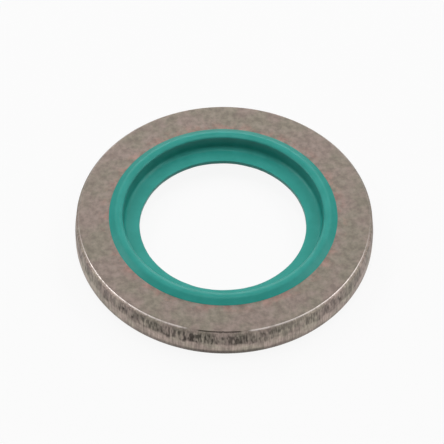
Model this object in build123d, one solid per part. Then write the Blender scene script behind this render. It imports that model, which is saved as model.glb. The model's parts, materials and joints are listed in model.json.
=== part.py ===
from build123d import *
import math
import os

# Self-centring bonded sealing washer for a G 1/4 (1/4 BSP) port, in two pieces.
#
# A ring blanked from steel strip carries a rubber seal that is moulded and bonded to its bore.
# The seal has a lip proud of each face of the ring, and a thin web at mid-height that grips the
# screw thread and so holds the washer centred.  Millimetres, +Z up.  The origin is on the axis,
# at the crest of the lower lip, on which the washer rests.

os.makedirs("parts", exist_ok=True)

# ---- radial sizes, from the thread outwards ----
THREAD_MAJOR_DIAMETER = 13.157   # G 1/4
WEB_GRIP = 0.82                  # how far the web reaches in past the thread's crests
LIP_CLEARANCE = 0.325            # gap between the thread's crests and the lips
RUBBER_WIDTH = 0.87              # from the lips' bore to the steel
RING_WIDTH = 2.525               # of the steel, from its bore to its outer wall

# ---- steel ring, blanked with its burr side up ----
RING_THICKNESS = 2.27
BORE_CHAMFER = 0.10              # at both ends of the bore, under the rubber
DIE_ROLL_WIDTH = 0.15            # the lower corner, drawn in round as the punch entered
DIE_ROLL_HEIGHT = 0.42
LAND_HEIGHT = 0.70               # the straight burnished band above the die roll
FRACTURE_LEAN = 0.10             # how far the torn wall above the land leans in
WORN_EDGE_WIDTH = 0.18           # the upper corner, its burr worn down to a bevel by tumbling
WORN_EDGE_HEIGHT = 0.20

# ---- rubber seal, the same above and below the ring's mid-plane ----
LIP_PROUD = 0.27                 # crest above the ring's face
CREST_RADIUS = 0.24
LIP_WALL_DRAFT = 9.0             # degrees off the axis, so that the mould's core draws out
WEB_ROOT_THICKNESS = 0.58        # where the web leaves the lips' wall
WEB_EDGE_THICKNESS = 0.30        # at the web's bore
WEB_ROOT_FILLET = 0.30

# ---- radii and heights that follow ----
thread_radius = THREAD_MAJOR_DIAMETER / 2
web_radius = thread_radius - WEB_GRIP
lip_radius = thread_radius + LIP_CLEARANCE
bore_radius = lip_radius + RUBBER_WIDTH
outer_radius = bore_radius + RING_WIDTH
bond_line_radius = bore_radius + BORE_CHAMFER    # rubber meets bare steel here on each face

lower_face = LIP_PROUD
upper_face = lower_face + RING_THICKNESS
mid_height = lower_face + RING_THICKNESS / 2


def steel_ring():
    """The blanked ring: die roll, land, leaning fracture and worn edge, and a chamfered bore."""
    roll_top = lower_face + DIE_ROLL_HEIGHT
    land_top = roll_top + LAND_HEIGHT
    roll_start = outer_radius - DIE_ROLL_WIDTH
    fracture_top = (outer_radius - FRACTURE_LEAN, upper_face - WORN_EDGE_HEIGHT)
    with BuildPart() as ring:
        with BuildSketch(Plane.XZ):
            with BuildLine():
                TangentArc((outer_radius, roll_top), (roll_start, lower_face), tangent=(0, -1))
                Polyline(
                    (outer_radius, roll_top),
                    (outer_radius, land_top),
                    fracture_top,
                    (fracture_top[0] - WORN_EDGE_WIDTH, upper_face),
                    (bond_line_radius, upper_face),
                    (bore_radius, upper_face - BORE_CHAMFER),
                    (bore_radius, lower_face + BORE_CHAMFER),
                    (bond_line_radius, lower_face),
                    (roll_start, lower_face),
                )
            make_face()
        revolve(axis=Axis.Z)
    return ring.part


def rubber_seal():
    """The moulded seal: bonded back, sloping lips with round crests, and the centring web."""
    # One lip, with heights counted from the ring's mid-plane.  The slope starts at the bond
    # line and touches the round crest, whose highest point stands LIP_PROUD above the face.
    face = RING_THICKNESS / 2
    crest_radius_out = lip_radius + CREST_RADIUS
    crest_height = face + LIP_PROUD - CREST_RADIUS
    run = bond_line_radius - crest_radius_out
    rise = crest_height - face
    slope = math.atan2(rise, run) + math.asin(CREST_RADIUS / math.hypot(run, rise))
    slope_end = (
        crest_radius_out + CREST_RADIUS * math.sin(slope),
        crest_height + CREST_RADIUS * math.cos(slope),
    )

    # The drafted wall leaves the crest as its tangent and would meet the web's face at the root.
    draft = math.radians(LIP_WALL_DRAFT)
    wall_top = (
        crest_radius_out - CREST_RADIUS * math.cos(draft),
        crest_height + CREST_RADIUS * math.sin(draft),
    )
    root_height = WEB_ROOT_THICKNESS / 2
    root = (wall_top[0] - (wall_top[1] - root_height) * math.tan(draft), root_height)
    web_corner = (web_radius, WEB_EDGE_THICKNESS / 2)

    with BuildPart() as seal:
        with BuildSketch(Plane((0, 0, mid_height), x_dir=(1, 0, 0), z_dir=(0, -1, 0))):
            with BuildLine():
                Line((bond_line_radius, face), slope_end)
                CenterArc(
                    (crest_radius_out, crest_height),
                    CREST_RADIUS,
                    start_angle=90 - math.degrees(slope),
                    arc_size=90 + math.degrees(slope) - LIP_WALL_DRAFT,
                )
                FilletPolyline(wall_top, root, web_corner, radius=WEB_ROOT_FILLET)
                Line(web_corner, (web_radius, 0))
                Line((bond_line_radius, face), (bore_radius, face - BORE_CHAMFER))
                Line((bore_radius, face - BORE_CHAMFER), (bore_radius, 0))
                mirror(about=Plane.XZ)
            make_face()
        revolve(axis=Axis.Z)
    return seal.part


for node, piece in {"steel_ring": steel_ring(), "rubber_seal": rubber_seal()}.items():
    export_step(piece, f"parts/{node}.step")
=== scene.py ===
import json
import math

import bpy
import numpy as np
from mathutils import Matrix, Vector


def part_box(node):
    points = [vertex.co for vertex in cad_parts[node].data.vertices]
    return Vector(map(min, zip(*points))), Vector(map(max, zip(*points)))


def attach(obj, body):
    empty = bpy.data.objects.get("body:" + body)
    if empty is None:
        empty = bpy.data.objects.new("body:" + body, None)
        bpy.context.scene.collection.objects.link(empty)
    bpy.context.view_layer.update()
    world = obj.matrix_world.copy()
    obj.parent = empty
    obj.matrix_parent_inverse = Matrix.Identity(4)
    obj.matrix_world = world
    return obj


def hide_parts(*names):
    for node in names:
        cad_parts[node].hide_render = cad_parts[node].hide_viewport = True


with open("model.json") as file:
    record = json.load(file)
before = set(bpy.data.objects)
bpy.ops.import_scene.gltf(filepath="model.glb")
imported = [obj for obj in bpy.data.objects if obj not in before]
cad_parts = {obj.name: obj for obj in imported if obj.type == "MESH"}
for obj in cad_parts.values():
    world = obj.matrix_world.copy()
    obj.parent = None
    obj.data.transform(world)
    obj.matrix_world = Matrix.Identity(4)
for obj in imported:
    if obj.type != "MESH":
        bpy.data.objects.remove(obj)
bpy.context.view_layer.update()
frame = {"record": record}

# ---------------------------------------------------------------------------------------------
# Camera.  It stands some 17 cm off and looks down at the washer from the front, through a long
# lens, turned a little on its own axis.
# ---------------------------------------------------------------------------------------------
CAMERA_ELEVATION = math.radians(50.58)
CAMERA_ROLL = math.radians(-0.64)
CAMERA_DISTANCE = 0.16997
CAMERA_AIM = Vector((-0.00016, 0.00074, 0.00088))    # what stands in the middle of the picture
LENS = 198.2            # mm, on a sensor 36 mm wide

forward = Vector((0, math.cos(CAMERA_ELEVATION), -math.sin(CAMERA_ELEVATION)))
level_up = Vector((0, math.sin(CAMERA_ELEVATION), math.cos(CAMERA_ELEVATION)))
level_right = Vector((1, 0, 0))
camera_right = math.cos(CAMERA_ROLL) * level_right - math.sin(CAMERA_ROLL) * level_up
camera_up = math.sin(CAMERA_ROLL) * level_right + math.cos(CAMERA_ROLL) * level_up
camera_place = Matrix((camera_right, camera_up, -forward)).transposed().to_4x4()
camera_place.translation = CAMERA_AIM - CAMERA_DISTANCE * forward

camera_data = bpy.data.cameras.new("camera")
camera_data.lens = LENS
camera_data.sensor_width = 36
camera_data.clip_start = 0.01
camera = bpy.data.objects.new("camera", camera_data)
camera.matrix_world = camera_place
bpy.context.scene.collection.objects.link(camera)
bpy.context.scene.camera = camera

# ---------------------------------------------------------------------------------------------
# Studio.  Five soft boxes overhead, at the sides and behind light the matt surfaces.  A pale
# sweep, a low strip and four small glints are what the glossy ones mirror.  The floor is plain.
# ---------------------------------------------------------------------------------------------
SKY_FILL = 0.12             # what the surroundings give to matt surfaces
# What glossy surfaces see, as a share of white: all white behind, at half height, and dimmer
DIM_FRONT = 0.85            # on the camera's side
DIM_CEILING = 0.75          # overhead
DIM_HORIZON = 0.28          # low down
DIM_SIDES = 0.45            # and to the left and right
# Where each of these fades, by that part of the way there as a unit vector
FRONT_FADE = (-0.5, 0.1)    # Y
CEILING_FADE = (0.65, 0.95) # Z
HORIZON_FADE = (0.00, 0.35) # Z
SIDES_FADE = (0.20, 0.60)   # X, to either side
BOX_DISTANCE = 0.26
# Name, width, height, level on the floor as a share of full light, way towards the box, whether
# it lights matt surfaces, and whether it shows in glossy ones
SOFT_BOXES = (
    ("top_box", 0.11, 0.11, 0.345, (0.00, 0.10, 0.99), True, False),
    ("left_box", 0.11, 0.11, 0.16, (-0.62, 0.08, 0.78), True, False),
    ("right_box", 0.11, 0.11, 0.16, (0.62, 0.08, 0.78), True, False),
    ("back_left_box", 0.11, 0.11, 0.155, (-0.40, 0.55, 0.73), True, False),
    ("back_right_box", 0.11, 0.11, 0.15, (0.40, 0.55, 0.73), True, False),
    ("low_back_strip", 0.26, 0.05, 0.070, (-0.05, 0.92, 0.39), False, True),
    ("left_glint", 0.11, 0.11, 0.07, (-0.85, 0.15, 0.50), False, True),
    ("right_glint", 0.11, 0.11, 0.06, (0.85, 0.15, 0.50), False, True),
    ("front_left_glint", 0.11, 0.11, 0.05, (-0.90, -0.25, 0.36), False, True),
    ("front_right_glint", 0.11, 0.11, 0.05, (0.90, -0.25, 0.36), False, True),
)

scene = bpy.context.scene
scene.view_settings.view_transform = "Standard"


def see_through_rays(tree):
    """One where the ray is a camera, a glossy or a transmission ray, and nought elsewhere."""
    path = tree.nodes.new("ShaderNodeLightPath")
    total = tree.nodes.new("ShaderNodeMath")
    total.operation = "ADD"
    tree.links.new(path.outputs["Is Camera Ray"], total.inputs[0])
    tree.links.new(path.outputs["Is Glossy Ray"], total.inputs[1])
    seen = tree.nodes.new("ShaderNodeMath")
    seen.operation = "ADD"
    seen.use_clamp = True
    tree.links.new(total.outputs[0], seen.inputs[0])
    tree.links.new(path.outputs["Is Transmission Ray"], seen.inputs[1])
    return seen.outputs[0]


world = bpy.data.worlds.new("studio")
world.use_nodes = True
scene.world = world
world_tree = world.node_tree
world_tree.nodes.clear()
world_out = world_tree.nodes.new("ShaderNodeOutputWorld")
world_mix = world_tree.nodes.new("ShaderNodeMixShader")
fill = world_tree.nodes.new("ShaderNodeBackground")
fill.inputs["Color"].default_value = (1, 1, 1, 1)
fill.inputs["Strength"].default_value = SKY_FILL
sweep = world_tree.nodes.new("ShaderNodeBackground")
sweep.inputs["Color"].default_value = (1, 1, 1, 1)
towards_sky = world_tree.nodes.new("ShaderNodeTexCoord")
sky_parts = world_tree.nodes.new("ShaderNodeSeparateXYZ")
world_tree.links.new(towards_sky.outputs["Generated"], sky_parts.inputs[0])


def sweep_level(part, fade, to_start, to_end):
    """Level that goes in an even S from to_start to to_end as that part of the way goes from
    one end of the fade to the other."""
    level = world_tree.nodes.new("ShaderNodeMapRange")
    level.interpolation_type = "SMOOTHSTEP"
    level.inputs["From Min"].default_value = fade[0]
    level.inputs["From Max"].default_value = fade[1]
    level.inputs["To Min"].default_value = to_start
    level.inputs["To Max"].default_value = to_end
    world_tree.links.new(part, level.inputs["Value"])
    return level.outputs[0]


aside = world_tree.nodes.new("ShaderNodeMath")
aside.operation = "ABSOLUTE"
world_tree.links.new(sky_parts.outputs["X"], aside.inputs[0])
reflected = sweep_level(sky_parts.outputs["Y"], FRONT_FADE, DIM_FRONT, 1.0)
for part, fade, to_start, to_end in (
    (sky_parts.outputs["Z"], CEILING_FADE, 1.0, DIM_CEILING),
    (sky_parts.outputs["Z"], HORIZON_FADE, DIM_HORIZON, 1.0),
    (aside.outputs[0], SIDES_FADE, 1.0, DIM_SIDES),
):
    both = world_tree.nodes.new("ShaderNodeMath")
    both.operation = "MULTIPLY"
    world_tree.links.new(reflected, both.inputs[0])
    world_tree.links.new(sweep_level(part, fade, to_start, to_end), both.inputs[1])
    reflected = both.outputs[0]
world_path = world_tree.nodes.new("ShaderNodeLightPath")
plain_white = world_tree.nodes.new("ShaderNodeMath")
plain_white.operation = "MAXIMUM"
world_tree.links.new(world_path.outputs["Is Camera Ray"], plain_white.inputs[0])
world_tree.links.new(reflected, plain_white.inputs[1])
world_tree.links.new(plain_white.outputs[0], sweep.inputs["Strength"])
world_tree.links.new(see_through_rays(world_tree), world_mix.inputs[0])
world_tree.links.new(fill.outputs[0], world_mix.inputs[1])
world_tree.links.new(sweep.outputs[0], world_mix.inputs[2])
world_tree.links.new(world_mix.outputs[0], world_out.inputs["Surface"])

for name, wide, tall, level, way, lights, shows in SOFT_BOXES:
    towards = Vector(way).normalized()
    lamp_data = bpy.data.lights.new(name, "AREA")
    lamp_data.shape = "RECTANGLE"
    lamp_data.size = wide
    lamp_data.size_y = tall
    # A box of this power lights the floor under it like a white world of that strength.
    lamp_data.energy = level * (math.pi * BOX_DISTANCE) ** 2 / towards.z
    lamp = bpy.data.objects.new(name, lamp_data)
    lamp.visible_diffuse = lights
    lamp.visible_glossy = shows
    lamp.matrix_world = towards.to_track_quat("Z", "Y").to_matrix().to_4x4()
    lamp.matrix_world.translation = BOX_DISTANCE * towards
    scene.collection.objects.link(lamp)

FLOOR_HALF = 0.6
FLOOR_COLOUR = (0.60, 0.60, 0.60, 1)
FLOOR_GLOW = 0.91           # share of plain white in what the camera sees of the floor

floor_mesh = bpy.data.meshes.new("floor")
floor_mesh.from_pydata(
    [(x, y, 0) for x, y in ((-1, -1), (1, -1), (1, 1), (-1, 1))], [], [(0, 1, 2, 3)]
)
floor_mesh.transform(Matrix.Diagonal((FLOOR_HALF, FLOOR_HALF, 1, 1)))
floor = bpy.data.objects.new("floor", floor_mesh)
scene.collection.objects.link(floor)

floor_paper = bpy.data.materials.new("floor_paper")
floor_paper.use_nodes = True
floor_tree = floor_paper.node_tree
floor_tree.nodes.clear()
floor_out = floor_tree.nodes.new("ShaderNodeOutputMaterial")
floor_mix = floor_tree.nodes.new("ShaderNodeMixShader")
floor_matt = floor_tree.nodes.new("ShaderNodeBsdfDiffuse")
floor_matt.inputs["Color"].default_value = FLOOR_COLOUR
floor_glow = floor_tree.nodes.new("ShaderNodeEmission")
share = floor_tree.nodes.new("ShaderNodeMath")
share.operation = "MULTIPLY"
share.inputs[1].default_value = FLOOR_GLOW
floor_tree.links.new(see_through_rays(floor_tree), share.inputs[0])
floor_tree.links.new(share.outputs[0], floor_mix.inputs[0])
floor_tree.links.new(floor_matt.outputs[0], floor_mix.inputs[1])
floor_tree.links.new(floor_glow.outputs[0], floor_mix.inputs[2])
floor_tree.links.new(floor_mix.outputs[0], floor_out.inputs["Surface"])
floor_mesh.materials.append(floor_paper)

# ---------------------------------------------------------------------------------------------
# Steel ring.  Mild steel, punched out of strip with its burr side up, tumbled until the burr is
# a soft bright edge, then passivated to a dull brown grey.  Its wall still shows the punching:
# a die roll, a smooth burnished land, and above it the torn fracture with its upright grooves.
# ---------------------------------------------------------------------------------------------
ring_low, ring_high = (np.array(corner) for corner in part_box("steel_ring"))
seal_high = np.array(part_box("rubber_seal")[1])
outer_radius = ring_high[0]
lower_face = ring_low[2]
upper_face = ring_high[2]
bond_radius = seal_high[0]          # where rubber and bare steel meet on each face
BORE_CHAMFER = 0.00010
bore_radius = bond_radius - BORE_CHAMFER

DIE_ROLL_WIDTH = 0.00015
DIE_ROLL_HEIGHT = 0.00042
LAND_HEIGHT = 0.00070
FRACTURE_LEAN = 0.00010
WORN_EDGE_WIDTH = 0.00018
WORN_EDGE_HEIGHT = 0.00020
EDGE_FOOT_RADIUS = 0.00014          # the bevel's lower corner, worn soft
EDGE_CREASE_RADIUS = 0.00005        # its upper one, still crisp
TIGHT = 0.00001                     # the last strip beside a sharp corner, so it shades crisp
RING_TURNS = 1800                   # stations round the ring
OFF_CENTRE = (-0.00008, 0.00003)    # the bore was punched this far off the ring's own centre


def stretch(start, end, count):
    """Straight stretch of a section: points evenly from start towards end, without the end."""
    share_along = np.arange(count)[:, None] / count
    return np.array(start) * (1 - share_along) + np.array(end) * share_along


def bend(centre, across, up, start, end, count):
    """Round stretch of a section: points on an ellipse about centre, from the angle start
    towards the angle end in degrees, without the end."""
    angle = np.radians(start + (end - start) * np.arange(count) / count)
    return np.array(centre) + np.stack([across * np.cos(angle), up * np.sin(angle)], axis=1)


def rounded(before, corner, after, radius, count):
    """Round corner of a section: points on the arc of that radius that touches both the line
    from before to corner and the line from corner to after, both of its ends among them."""
    corner = np.array(corner)
    back, on = np.array(before) - corner, np.array(after) - corner
    back, on = back / np.linalg.norm(back), on / np.linalg.norm(on)
    half = math.acos(back @ on) / 2
    centre = corner + (back + on) / np.linalg.norm(back + on) * radius / math.sin(half)
    spoke = corner + back * radius / math.tan(half) - centre
    sense = math.copysign(1, back[1] * on[0] - back[0] * on[1])
    angle = sense * np.linspace(0, math.pi - 2 * half, count)[:, None]
    return centre + spoke * np.cos(angle) + np.array([-spoke[1], spoke[0]]) * np.sin(angle)


def ring_noise(turn, cells, seed):
    """Smooth noise from 0 to 1 that closes on itself round the ring: a random value at each of
    so many even stations, joined by cosine eases."""
    values = np.random.default_rng(seed).random(cells)
    place = turn / (2 * np.pi) * cells
    before = np.floor(place).astype(int)
    ease = (1 - np.cos(np.pi * (place - before))) / 2
    return values[before % cells] * (1 - ease) + values[(before + 1) % cells] * ease


def face_noise(turn, across, turn_cells, across_cells, seed):
    """The same noise over a band: random values on a grid of stations round the ring and
    across the band, joined by cosine eases both ways.  Across runs from 0 to 1."""
    values = np.random.default_rng(seed).random((turn_cells, across_cells + 1))
    place = turn / (2 * np.pi) * turn_cells
    before = np.floor(place).astype(int)
    ease = (1 - np.cos(np.pi * (place - before))) / 2
    row = np.clip(across, 0, 1) * across_cells
    below = np.minimum(np.floor(row).astype(int), across_cells - 1)
    rise = (1 - np.cos(np.pi * (row - below))) / 2
    here, there = before % turn_cells, (before + 1) % turn_cells
    low = values[here, below] * (1 - ease) + values[there, below] * ease
    high = values[here, below + 1] * (1 - ease) + values[there, below + 1] * ease
    return low * (1 - rise) + high * rise


def blend_in(value, start, end):
    """Nought up to start, one from end, and an even S between them."""
    part = np.clip((value - start) / (end - start), 0, 1)
    return part * part * (3 - 2 * part)


def turned_mesh(name, radius, height, shift_x, shift_y):
    """Closed ring of quads: the point of row i and column j stands at the turn of row i, at
    that radius and height, moved sideways by the shifts.  Rows close round the axis and columns
    close round the section, which runs anticlockwise with the radius to the right, so the faces
    point outwards."""
    rows, columns = radius.shape
    turn = np.arange(rows)[:, None] * (2 * np.pi / rows)
    points = np.stack([
        radius * np.cos(turn) + shift_x,
        radius * np.sin(turn) + shift_y,
        height,
    ], axis=2)
    row, column = np.meshgrid(np.arange(rows), np.arange(columns), indexing="ij")
    next_row, next_column = (row + 1) % rows, (column + 1) % columns
    corners = np.stack([
        row * columns + column,
        next_row * columns + column,
        next_row * columns + next_column,
        row * columns + next_column,
    ], axis=2).reshape(-1)
    mesh = bpy.data.meshes.new(name)
    mesh.vertices.add(rows * columns)
    mesh.vertices.foreach_set("co", points.astype(np.float32).reshape(-1))
    mesh.loops.add(4 * rows * columns)
    mesh.loops.foreach_set("vertex_index", corners.astype(np.int32))
    mesh.polygons.add(rows * columns)
    mesh.polygons.foreach_set("loop_start", np.arange(0, 4 * rows * columns, 4, dtype=np.int32))
    mesh.polygons.foreach_set("use_smooth", np.ones(rows * columns, dtype=bool))
    mesh.update(calc_edges=True)
    piece = bpy.data.objects.new(name, mesh)
    scene.collection.objects.link(piece)
    return piece


def paint(piece, name, values):
    """Keeps one number for each point on the mesh, for the material to read."""
    attribute = piece.data.attributes.new(name, "FLOAT", "POINT")
    attribute.data.foreach_set("value", values.astype(np.float32).reshape(-1))


roll_top = lower_face + DIE_ROLL_HEIGHT
land_top = roll_top + LAND_HEIGHT
roll_start = outer_radius - DIE_ROLL_WIDTH
roll_radius = (DIE_ROLL_WIDTH**2 + DIE_ROLL_HEIGHT**2) / (2 * DIE_ROLL_WIDTH)
roll_angle = math.degrees(math.asin(DIE_ROLL_HEIGHT / roll_radius))
bevel_foot = (outer_radius - FRACTURE_LEAN, upper_face - WORN_EDGE_HEIGHT)
bevel_top = (bevel_foot[0] - WORN_EDGE_WIDTH, upper_face)
foot_bend = rounded((outer_radius, land_top), bevel_foot, bevel_top, EDGE_FOOT_RADIUS, 5)
crease = rounded(bevel_foot, bevel_top, (bond_radius, upper_face), EDGE_CREASE_RADIUS, 6)
ring_section = np.concatenate([
    stretch((bond_radius, lower_face), (bond_radius + TIGHT, lower_face), 1),
    stretch((bond_radius + TIGHT, lower_face), (roll_start, lower_face), 3),
    bend((outer_radius - roll_radius, roll_top), roll_radius, roll_radius, -roll_angle, 0, 6),
    stretch((outer_radius, roll_top), (outer_radius, land_top), 4),
    stretch((outer_radius, land_top), foot_bend[0], 15),
    foot_bend[:-1],
    stretch(foot_bend[-1], crease[0], 4),
    crease[:-1],
    stretch(crease[-1], (bond_radius + TIGHT, upper_face), 8),
    stretch((bond_radius + TIGHT, upper_face), (bond_radius, upper_face), 1),
    stretch((bond_radius, upper_face), (bore_radius, upper_face - BORE_CHAMFER), 1),
    stretch((bore_radius, upper_face - BORE_CHAMFER), (bore_radius, lower_face + BORE_CHAMFER), 1),
    stretch((bore_radius, lower_face + BORE_CHAMFER), (bond_radius, lower_face), 1),
])

turn = np.arange(RING_TURNS)[:, None] * (2 * np.pi / RING_TURNS)
radius = np.repeat(ring_section[None, :, 0], RING_TURNS, axis=0)
height = np.repeat(ring_section[None, :, 1], RING_TURNS, axis=0)
fracture_height = bevel_foot[1] - land_top
rise = (height - land_top) / fracture_height
on_wall = (radius > bevel_top[0] - TIGHT) & (height > lower_face)

# The fracture: short upright tears, finer than they are long, bunched in patches round the wall
# and leaning this way and that, with pits among them where crumbs of steel broke out.
TEAR_DEPTH = 0.000030
TEAR_LEAN = 0.014                   # radians that a tear can drift by the fracture's top
FRONT = math.radians(-99)           # the roughest patch of the wall faces this way
FRONT_SPREAD = math.radians(27)
ROUGH_PATCHES = 0.50                # how much the patches and that front add to the roughness
ROUGH_FRONT = 0.60
SMOOTH_TEAR = 0.35                  # how deep tears go where the wall is smoothest, as a share
TEAR_STARTS = 0.58                  # a streak this strong starts to tear where it is smoothest,
TEAR_WHOLE = 0.80                   # one this strong tears to the full,
ROUGH_LOWERS = 0.22                 # and both fall by this much where it is roughest
# Shares of the fracture's height
FOOT_RAGGED = 0.20                  # how far the tears' foot jumps from one to the next
FOOT_DRIFTS = 0.14                  # and how far it drifts over a longer stretch
FOOT_FADE = (-0.08, 0.16)           # from the foot, where tears start and are whole
TEAR_TOP = (1.15, 0.78)             # where they have ended and are still whole
TORN_FADE = (-0.04, 0.10)           # from the foot, where the wall turns from land to torn
PIT_DEPTH = 0.000060
# Way it faces in degrees, share of the fracture's height, half width and half height in metres
CRUMBS = (
    (-131.0, 0.56, 0.00013, 0.00013),
    (-126.5, 0.30, 0.00008, 0.00010),
    (-84.5, 0.50, 0.00009, 0.00012),
    (-40.0, 0.42, 0.00010, 0.00014),
)

from_front = np.angle(np.exp(1j * (turn - FRONT)))
patches = 0.6 * ring_noise(turn, 23, 11) + 0.4 * ring_noise(turn, 61, 12)
rough = ROUGH_PATCHES * patches + ROUGH_FRONT * np.exp(-((from_front / FRONT_SPREAD) ** 2))
rough = np.clip(rough, 0, 1)
leaning = turn + TEAR_LEAN * (ring_noise(turn, 53, 13) - 0.35) * rise
streaks = (
    0.34 * face_noise(leaning, rise, 580, 2, 21)
    + 0.42 * face_noise(leaning, rise, 890, 3, 22)
    + 0.24 * face_noise(leaning, rise, 300, 3, 23)
)
lower = ROUGH_LOWERS * rough
tear = SMOOTH_TEAR + (1 - SMOOTH_TEAR) * rough
tear = tear * blend_in(streaks, TEAR_STARTS - lower, TEAR_WHOLE - lower)
foot = FOOT_RAGGED * (ring_noise(turn, 240, 31) - 0.5)
foot = foot + FOOT_DRIFTS * (ring_noise(turn, 83, 32) - 0.5)
tear = tear * blend_in(rise, foot + FOOT_FADE[0], foot + FOOT_FADE[1])
tear = tear * blend_in(rise, *TEAR_TOP)
tear = np.where(on_wall, tear, 0)
pit = np.zeros_like(tear)
for way, share_up, half_width, half_height in CRUMBS:
    aside = np.angle(np.exp(1j * (turn - math.radians(way)))) * outer_radius / half_width
    above = (rise - share_up) * fracture_height / half_height
    pit = np.maximum(pit, np.exp(-(aside**2 + above**2) * (0.6 + 0.8 * streaks)))
pit = np.where(on_wall, pit, 0)
radius = radius - TEAR_DEPTH * tear - PIT_DEPTH * pit
tear = np.maximum(tear, pit)

# Where the land gives way to the fracture, the line wanders, and the bevel on top is worn clean.
BEVEL_CLEAN = 0.00008               # nothing looks torn from the upper face to this far down,
BEVEL_TORN = 0.00024                # and all of it does from this far down
torn = np.where(on_wall, blend_in(rise, foot + TORN_FADE[0], foot + TORN_FADE[1]), 0)
torn = torn * blend_in(height, upper_face - BEVEL_CLEAN, upper_face - BEVEL_TORN)

# Tumbling left shallow hollows in the faces and small nicks along the upper edge.  At the front
# the burr was folded over instead, and leaves a short open seam under the edge.
FACE_WAVE = 0.000005
EDGE_NICK = 0.000018
NICKED_BELOW = 0.00008              # nicks are whole this far under the upper face
FOLD = math.radians(-91)            # the fold faces this way
# Degrees from there, where each starts and is whole, on the one side and on the other
FOLD_ENDS = ((-15, -12), (13, 10))
SEAM_ENDS = ((-9.5, -8), (8.5, 7))
SEAM_DEPTH = 0.000060
SEAM_DROP = 0.00004                 # of the seam's middle under the upper face
across = np.clip((radius - bond_radius) / (outer_radius - bond_radius), 0, 1)
hollows = face_noise(turn, across, 150, 5, 51) - 0.5
height = height + FACE_WAVE * np.minimum(hollows, 0) * blend_in(height, bevel_foot[1], upper_face)
nicks = blend_in(ring_noise(turn, 300, 61), 0.80, 0.97)
nicks = nicks * blend_in(ring_noise(turn, 90, 62), 0.35, 0.6)
on_edge = np.where(on_wall, blend_in(height, bevel_foot[1], upper_face - NICKED_BELOW), 0)
radius = radius - EDGE_NICK * nicks * on_edge
from_fold = np.degrees(np.angle(np.exp(1j * (turn - FOLD))))
folded = blend_in(from_fold, *FOLD_ENDS[0]) * blend_in(from_fold, *FOLD_ENDS[1])
seam = blend_in(from_fold, *SEAM_ENDS[0]) * blend_in(from_fold, *SEAM_ENDS[1])
seam = seam * blend_in(ring_noise(turn, 130, 64), 0.12, 0.35)
off_seam = np.abs(height - upper_face + SEAM_DROP)
seam = seam * np.where(on_wall, blend_in(off_seam, SEAM_DROP, TIGHT), 0)
radius = radius - SEAM_DEPTH * seam

# The faces follow the bore off centre, and less and less so towards the wall, which does not.
WALL_MARGIN = 0.0005                # this far in from the wall, nothing is off centre yet
centred = blend_in(radius, bond_radius, outer_radius - WALL_MARGIN)
steel_ring = turned_mesh(
    "blanked_ring", radius, height, OFF_CENTRE[0] * (1 - centred), OFF_CENTRE[1] * (1 - centred)
)

# What the material needs to know of each point: tears and seam, which get painted shade, torn
# fracture, worn bright edge with a painted highlight, die roll with painted shade, the whole
# sheared wall, and the rim of the bond.
SEAM_PAINTED_SHADE = 1.2                   # its painted shade, as a share of the deepest tear's
# The edge's bright line is worn bare steel with a painted highlight on it.
EDGE_LINE = (0.00006, 0.00001)      # below the upper face, where the bright line starts, is whole
EDGE_LOWER = 0.00003                # how much lower it hangs at the fold,
EDGE_LOWER_SPREAD = 42              # over so many degrees
EDGE_HIGHLIGHT_FADES = 0.75                   # the share of it, the painted highlight, that fades away from the fold,
EDGE_HIGHLIGHT_FADE = (55, 88)                # between so many degrees
EDGE_LEAST = 0.50                   # what is left of it where it is worn dullest
# The die roll is darkened with painted shade, strongest at the front.
ROLL_ABOVE = 0.00014                # the die roll's shading starts this far above its top,
ROLL_BELOW = 0.00003                # and is whole this far below
ROLL_LEAST = 0.45                   # its strength away from the front,
ROLL_FRONT_SHADE = 1.15                   # and what the front adds,
ROLL_SPREAD = 27                    # over so many degrees
SHEARED_FADE = (0.00001, 0.00005)   # below the upper face, where the sheared wall starts, is whole
RIM_FADE = (0.0008, 0.0001)         # past the bond, where its rim starts and is whole
# Tears, pits and the seam carry painted shade.
paint(steel_ring, "tear", np.maximum(tear, SEAM_PAINTED_SHADE * seam))
paint(steel_ring, "torn", torn)
# Bright edge: worn bare steel with a painted highlight, which fades away from the fold.
hang = EDGE_LOWER * np.exp(-((from_fold / EDGE_LOWER_SPREAD) ** 2))
line = blend_in(height, upper_face - EDGE_LINE[0] - hang, upper_face - EDGE_LINE[1] - hang)
line = np.where(on_wall, line, 0) * (1 - EDGE_HIGHLIGHT_FADES * blend_in(np.abs(from_fold), *EDGE_HIGHLIGHT_FADE))
worn = ring_noise(turn, 420, 63) + 0.4 * ring_noise(turn, 90, 65)
wear = EDGE_LEAST + (1 - EDGE_LEAST) * blend_in(worn, 0.15, 0.6)
paint(steel_ring, "bare_edge_and_highlight", line * wear * (1 - folded))
# Painted shade on the die roll.
die_roll_shade = np.where(on_wall, blend_in(height, roll_top + ROLL_ABOVE, roll_top - ROLL_BELOW), 0)
die_roll_shade = die_roll_shade * (ROLL_LEAST + ROLL_FRONT_SHADE * np.exp(-((from_fold / ROLL_SPREAD) ** 2)))
paint(steel_ring, "die_roll_shade", die_roll_shade)
# The sheared wall is painted paler: partly its bare steel, partly painted light.
sheared = np.where(on_wall, blend_in(height, lower_face, roll_top), 0)
sheared = sheared * blend_in(height, upper_face - SHEARED_FADE[0], upper_face - SHEARED_FADE[1])
paint(steel_ring, "sheared", sheared)
# The primer under the rubber left a reddish bloom on the faces, close along the bond.
paint(steel_ring, "rim", blend_in(radius, bond_radius + RIM_FADE[0], bond_radius + RIM_FADE[1]))


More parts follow.
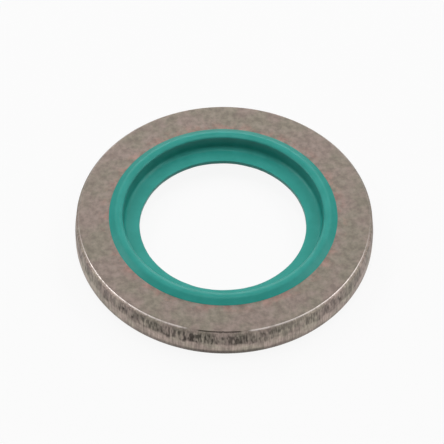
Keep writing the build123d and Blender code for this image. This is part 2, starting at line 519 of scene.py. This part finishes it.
class Finish:
    """A material in the making: each call adds a node, or wires one to another."""

    def __init__(self, name):
        self.material = bpy.data.materials.new(name)
        self.material.use_nodes = True
        self.tree = self.material.node_tree
        self.shader = self.tree.nodes["Principled BSDF"]

    def add(self, kind, inputs=None, **settings):
        node = self.tree.nodes.new(kind)
        for setting, value in settings.items():
            setattr(node, setting, value)
        for socket, value in (inputs or {}).items():
            self.join(value, node.inputs[socket])
        return node

    def join(self, value, socket):
        if isinstance(value, bpy.types.NodeSocket):
            self.tree.links.new(value, socket)
        else:
            socket.default_value = value

    def noise(self, place, scale, detail=3.0, roughness=0.55, stretch=(1, 1, 1)):
        """Value from 0 to 1 of a cloud whose lumps are about 1/scale metres across."""
        moved = self.add("ShaderNodeMapping", {"Vector": place, "Scale": stretch})
        cloud = self.add(
            "ShaderNodeTexNoise",
            {"Vector": moved.outputs[0], "Scale": scale, "Detail": detail, "Roughness": roughness},
        )
        return cloud.outputs["Fac"]

    def spread(self, value, low, high, to_low=0.0, to_high=1.0):
        """The value, with low to high drawn out to to_low to to_high, and held there."""
        ranged = self.add(
            "ShaderNodeMapRange",
            {
                "Value": value,
                "From Min": low,
                "From Max": high,
                "To Min": to_low,
                "To Max": to_high,
            },
            interpolation_type="SMOOTHSTEP",
        )
        return ranged.outputs["Result"]

    def tint(self, amount, under, over):
        """The colour under, with so much of the colour over laid on it."""
        mixed = self.add("ShaderNodeMix", data_type="RGBA")
        self.join(amount, mixed.inputs["Factor"])
        self.join(under, mixed.inputs["A"])
        self.join(over, mixed.inputs["B"])
        return mixed.outputs["Result"]

    def times(self, first, second):
        return self.add("ShaderNodeMath", {0: first, 1: second}, operation="MULTIPLY").outputs[0]

    def plus(self, first, second):
        return self.add("ShaderNodeMath", {0: first, 1: second}, operation="ADD").outputs[0]

    def attribute(self, name):
        return self.add("ShaderNodeAttribute", attribute_name=name).outputs["Fac"]

    def bump(self, height, depth, normal=None):
        """The surface's normal, with the height from 0 to 1 standing up by that depth."""
        raised = self.add("ShaderNodeBump", {"Height": height, "Distance": depth})
        if normal is not None:
            self.join(normal, raised.inputs["Normal"])
        return raised.outputs["Normal"]


STEEL_OLIVE = (0.314, 0.278, 0.229, 1)
STEEL_PINK = (0.343, 0.278, 0.245, 1)
STEEL_REDDISH = (0.437, 0.272, 0.237, 1)
# Colour of the worn edge: bare steel with a painted highlight.
STEEL_BARE_AND_HIGHLIGHT = (0.95, 0.86, 0.82, 1)
REDDISH_MOST = 0.7                  # how much of its colour the bloom reaches,
BARE_AND_HIGHLIGHT_MOST = 0.9                   # and the worn edge, bare steel with a painted highlight, of its own
CLOUD_SHADE = (0.80, 1.19)          # darkest and palest of the soft clouds
MOTTLE_SHADE = 0.07                 # either way from those
STEEL_ROUGHNESS = (0.50, 0.60)
EDGE_SMOOTHER = 0.15
STEEL_GRAIN_DEPTH = 0.000010
HATCH_DEPTH = 0.000012
# How much paler each part is than the tumbled faces, as a share
SHEARED_PALER_AND_LIT = 0.13                # the whole sheared wall: paler bare steel, and partly painted light
HATCH_PALER = 0.20                  # its hatch's palest lines, and the darkest as much darker
SCORED_PALER = (-0.44, -0.08)       # the torn fracture, where scored most and least
ROLL_PAINTED_SHADE = -0.42                # painted shade on the die roll
TEAR_PAINTED_SHADE = -0.74                  # painted shade at the bottom of a tear, a pit or the seam


def passivated_steel():
    """Dull brown-grey steel: a warm grey with olive and pinkish drifts a millimetre or two wide,
    soft clouds and a fine mottle over them, and on the wall a darker torn fracture with grooves
    darkened by painted shade, a paler smooth land, a fine upright hatch, a die roll darkened by
    painted shade, a sheared wall made paler partly as painted light, and a bright worn upper edge
    that is bare steel with a painted highlight."""
    steel = Finish("passivated_steel")
    place = steel.add("ShaderNodeTexCoord").outputs["Object"]
    drift = steel.noise(place, 620, detail=2.0)
    colour = steel.tint(steel.spread(drift, 0.36, 0.64), STEEL_OLIVE, STEEL_PINK)
    fleck = steel.spread(steel.noise(place, 1300), 0.45, 0.61)
    bloom = steel.times(steel.times(steel.attribute("rim"), fleck), REDDISH_MOST)
    colour = steel.tint(bloom, colour, STEEL_REDDISH)
    cloud = steel.noise(place, 2000, detail=4.0, roughness=0.64)
    mottle = steel.noise(place, 6500, detail=2.0)
    shade = steel.plus(
        steel.spread(cloud, 0.28, 0.72, *CLOUD_SHADE),
        steel.spread(mottle, 0.25, 0.75, -MOTTLE_SHADE, MOTTLE_SHADE),
    )
    bare_edge_and_highlight = steel.attribute("bare_edge_and_highlight")
    sheared = steel.attribute("sheared")
    hatch = steel.noise(place, 8200, detail=2.0, stretch=(1, 1, 0.10))
    scored = steel.noise(place, 3000, detail=3.0, roughness=0.65, stretch=(1, 1, 0.22))
    # Some of these changes are painted light: shade in the tears and on the die roll, and part of
    # the sheared wall's paleness.
    for part, paler in (
        (sheared, SHEARED_PALER_AND_LIT),
        (sheared, steel.spread(hatch, 0.3, 0.7, -HATCH_PALER, HATCH_PALER)),
        (steel.attribute("torn"), steel.spread(scored, 0.30, 0.66, *SCORED_PALER)),
        (steel.attribute("die_roll_shade"), ROLL_PAINTED_SHADE),
        (steel.attribute("tear"), TEAR_PAINTED_SHADE),
    ):
        shade = steel.times(shade, steel.plus(1.0, steel.times(part, paler)))
    dark = steel.add("ShaderNodeMix", data_type="RGBA", blend_type="MULTIPLY")
    steel.join(1.0, dark.inputs["Factor"])
    steel.join(colour, dark.inputs["A"])
    steel.join(shade, dark.inputs["B"])
    # The worn edge's bare steel and painted highlight.
    bright = steel.times(bare_edge_and_highlight, BARE_AND_HIGHLIGHT_MOST)
    colour = steel.tint(bright, dark.outputs["Result"], STEEL_BARE_AND_HIGHLIGHT)
    steel.join(colour, steel.shader.inputs["Base Color"])
    steel.shader.inputs["Metallic"].default_value = 1.0
    dull = steel.spread(mottle, 0.3, 0.7, *STEEL_ROUGHNESS)
    dull = steel.plus(dull, steel.times(bare_edge_and_highlight, -EDGE_SMOOTHER))
    steel.join(dull, steel.shader.inputs["Roughness"])
    grain = steel.noise(place, 9000, detail=3.0, roughness=0.65)
    normal = steel.bump(grain, STEEL_GRAIN_DEPTH)
    normal = steel.bump(steel.times(hatch, sheared), HATCH_DEPTH, normal=normal)
    steel.join(normal, steel.shader.inputs["Normal"])
    return steel.material


steel_ring.data.materials.append(passivated_steel())
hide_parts("steel_ring")
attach(steel_ring, "root")

# ---------------------------------------------------------------------------------------------
# Rubber seal.  Teal-green fluorocarbon rubber, moulded round the ring's bore and bonded to it.
# A lip stands proud of each face, and the thin web at mid-height centres the washer on a thread.
# ---------------------------------------------------------------------------------------------
SEAL_TURNS = 710                    # stations round the seal
LIP_RADIUS = 0.006905
CREST_RADIUS = 0.00012              # round the lip's inner corner
SHOULDER_RADIUS = 0.00070           # from there up to the top
SHOULDER_TILT = 25.0                # degrees that the shoulder leans by the corner
CROWN_RADIUS = 0.00050              # from the top out towards the steel
LIP_WALL_DRAFT = 4.0                # degrees off the axis
WEB_ROOT_THICKNESS = 0.00058
WEB_EDGE_THICKNESS = 0.00030
WEB_ROOT_FILLET = 0.00030
WEB_CORNER = 0.00004                # the web's corners, hardly broken
WEB_OFF_CENTRE = (-0.00001, -0.00002)    # of the web's bore against the rest of the seal

web_radius = frame["record"]["mounts"][0]["dims"]["r_mm"] / 1000
middle = (lower_face + upper_face) / 2


def lip_section():
    """Upper half of the seal's section, from the web's inner edge up to the bond line: the web,
    a round root that touches web and wall, the drafted wall, the lip's corner, shoulder and
    crown as arcs that run into each other, and the straight slope that leaves the crown as its
    tangent.  Heights count from the middle of the ring's thickness."""
    face = upper_face - middle
    tilt = math.radians(90 + SHOULDER_TILT)
    spoke = np.array([math.cos(tilt), math.sin(tilt)])
    corner_to_shoulder = (SHOULDER_RADIUS - CREST_RADIUS) * spoke
    top = np.array([LIP_RADIUS + CREST_RADIUS - corner_to_shoulder[0], seal_high[2] - middle])
    shoulder = top - [0, SHOULDER_RADIUS]
    crest = shoulder + corner_to_shoulder
    draft = math.radians(LIP_WALL_DRAFT)
    wall_top = crest + CREST_RADIUS * np.array([-math.cos(draft), math.sin(draft)])
    web_rise = (WEB_ROOT_THICKNESS - WEB_EDGE_THICKNESS) / 2
    web_slope = math.atan(web_rise / (LIP_RADIUS - web_radius))
    # The root's centre keeps the fillet's radius off both the web's face and the wall.
    root_face = np.array([web_radius, WEB_EDGE_THICKNESS / 2])
    web_way = np.array([math.cos(web_slope), math.sin(web_slope)])
    web_off = np.array([-math.sin(web_slope), math.cos(web_slope)])
    wall_way = np.array([math.sin(draft), math.cos(draft)])
    wall_off = np.array([-math.cos(draft), math.sin(draft)])
    start = root_face + WEB_ROOT_FILLET * web_off
    goal = wall_top + WEB_ROOT_FILLET * wall_off
    along, _ = np.linalg.solve(np.stack([web_way, -wall_way], axis=1), goal - start)
    root = start + along * web_way
    web_end = root - WEB_ROOT_FILLET * web_off
    wall_foot = root - WEB_ROOT_FILLET * wall_off
    crown = top - [0, CROWN_RADIUS]
    run, drop = bond_radius - crown[0], crown[1] - face
    slope = math.atan2(drop, run) + math.asin(CROWN_RADIUS / math.hypot(run, drop))
    slope_top = crown + CROWN_RADIUS * np.array([math.sin(slope), math.cos(slope)])
    up_slope = np.array([-math.cos(slope), math.sin(slope)])
    slope_end = np.array([bond_radius, face]) + TIGHT * up_slope
    corner = np.array([web_radius + WEB_CORNER, WEB_EDGE_THICKNESS / 2 - WEB_CORNER])
    return np.concatenate([
        stretch((web_radius, 0), (web_radius, corner[1]), 3),
        bend(corner, WEB_CORNER, WEB_CORNER, 180, 90 + math.degrees(web_slope), 3),
        stretch(corner + WEB_CORNER * web_off, web_end, 12),
        bend(root, WEB_ROOT_FILLET, WEB_ROOT_FILLET,
             270 + math.degrees(web_slope), 360 - LIP_WALL_DRAFT, 10),
        stretch(wall_foot, wall_top, 9),
        bend(crest, CREST_RADIUS, CREST_RADIUS, 180 - LIP_WALL_DRAFT, 90 + SHOULDER_TILT, 6),
        bend(shoulder, SHOULDER_RADIUS, SHOULDER_RADIUS, 90 + SHOULDER_TILT, 90, 7),
        bend(crown, CROWN_RADIUS, CROWN_RADIUS, 90, 90 - math.degrees(slope), 8),
        stretch(slope_top, slope_end, 7),
        stretch(slope_end, (bond_radius, face), 1),
        stretch((bond_radius, face), (bore_radius, face - BORE_CHAMFER), 1),
        stretch((bore_radius, face - BORE_CHAMFER), (bore_radius, 0), 2),
    ])


upper_half = lip_section()
lower_half = upper_half[:0:-1] * [1, -1]
seal_section = np.concatenate([upper_half, lower_half])[::-1] + [0, middle]

seal_turn = np.arange(SEAL_TURNS)[:, None] * (2 * np.pi / SEAL_TURNS)
seal_radius = np.repeat(seal_section[None, :, 0], SEAL_TURNS, axis=0)
seal_height = np.repeat(seal_section[None, :, 1], SEAL_TURNS, axis=0)

# The flash trimmed off the web's edge left it slightly uneven.
WEB_UNEVEN = 0.00002
UNEVEN_REACH = 0.0004               # from the edge outwards
edge_share = blend_in(seal_radius, web_radius + UNEVEN_REACH, web_radius)
web_wander = ring_noise(seal_turn, 34, 71) + 0.5 * ring_noise(seal_turn, 120, 72) - 0.75
seal_radius = seal_radius + WEB_UNEVEN * edge_share * web_wander

on_web = blend_in(seal_radius, LIP_RADIUS - 0.0002, web_radius)
seal = turned_mesh(
    "moulded_seal",
    seal_radius,
    seal_height,
    OFF_CENTRE[0] + WEB_OFF_CENTRE[0] * on_web,
    OFF_CENTRE[1] + WEB_OFF_CENTRE[1] * on_web,
)


RUBBER_TEAL = (0.020, 0.262, 0.222, 1)
RUBBER_BLOOM = (0.026, 0.285, 0.245, 1)
RUBBER_GRAIN_DEPTH = 0.000003


def seal_rubber():
    """Teal rubber: an even colour with a faint bloom, a satin gloss and a fine moulded grain."""
    rubber = Finish("seal_rubber")
    place = rubber.add("ShaderNodeTexCoord").outputs["Object"]
    cloud = rubber.noise(place, 900, detail=3.0)
    colour = rubber.tint(rubber.spread(cloud, 0.35, 0.65), RUBBER_TEAL, RUBBER_BLOOM)
    rubber.join(colour, rubber.shader.inputs["Base Color"])
    rubber.shader.inputs["Roughness"].default_value = 0.30
    rubber.shader.inputs["Specular IOR Level"].default_value = 0.30
    grain = rubber.noise(place, 12000, detail=2.0)
    rubber.join(rubber.bump(grain, RUBBER_GRAIN_DEPTH), rubber.shader.inputs["Normal"])
    return rubber.material


seal.data.materials.append(seal_rubber())
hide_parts("rubber_seal")
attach(seal, "root")
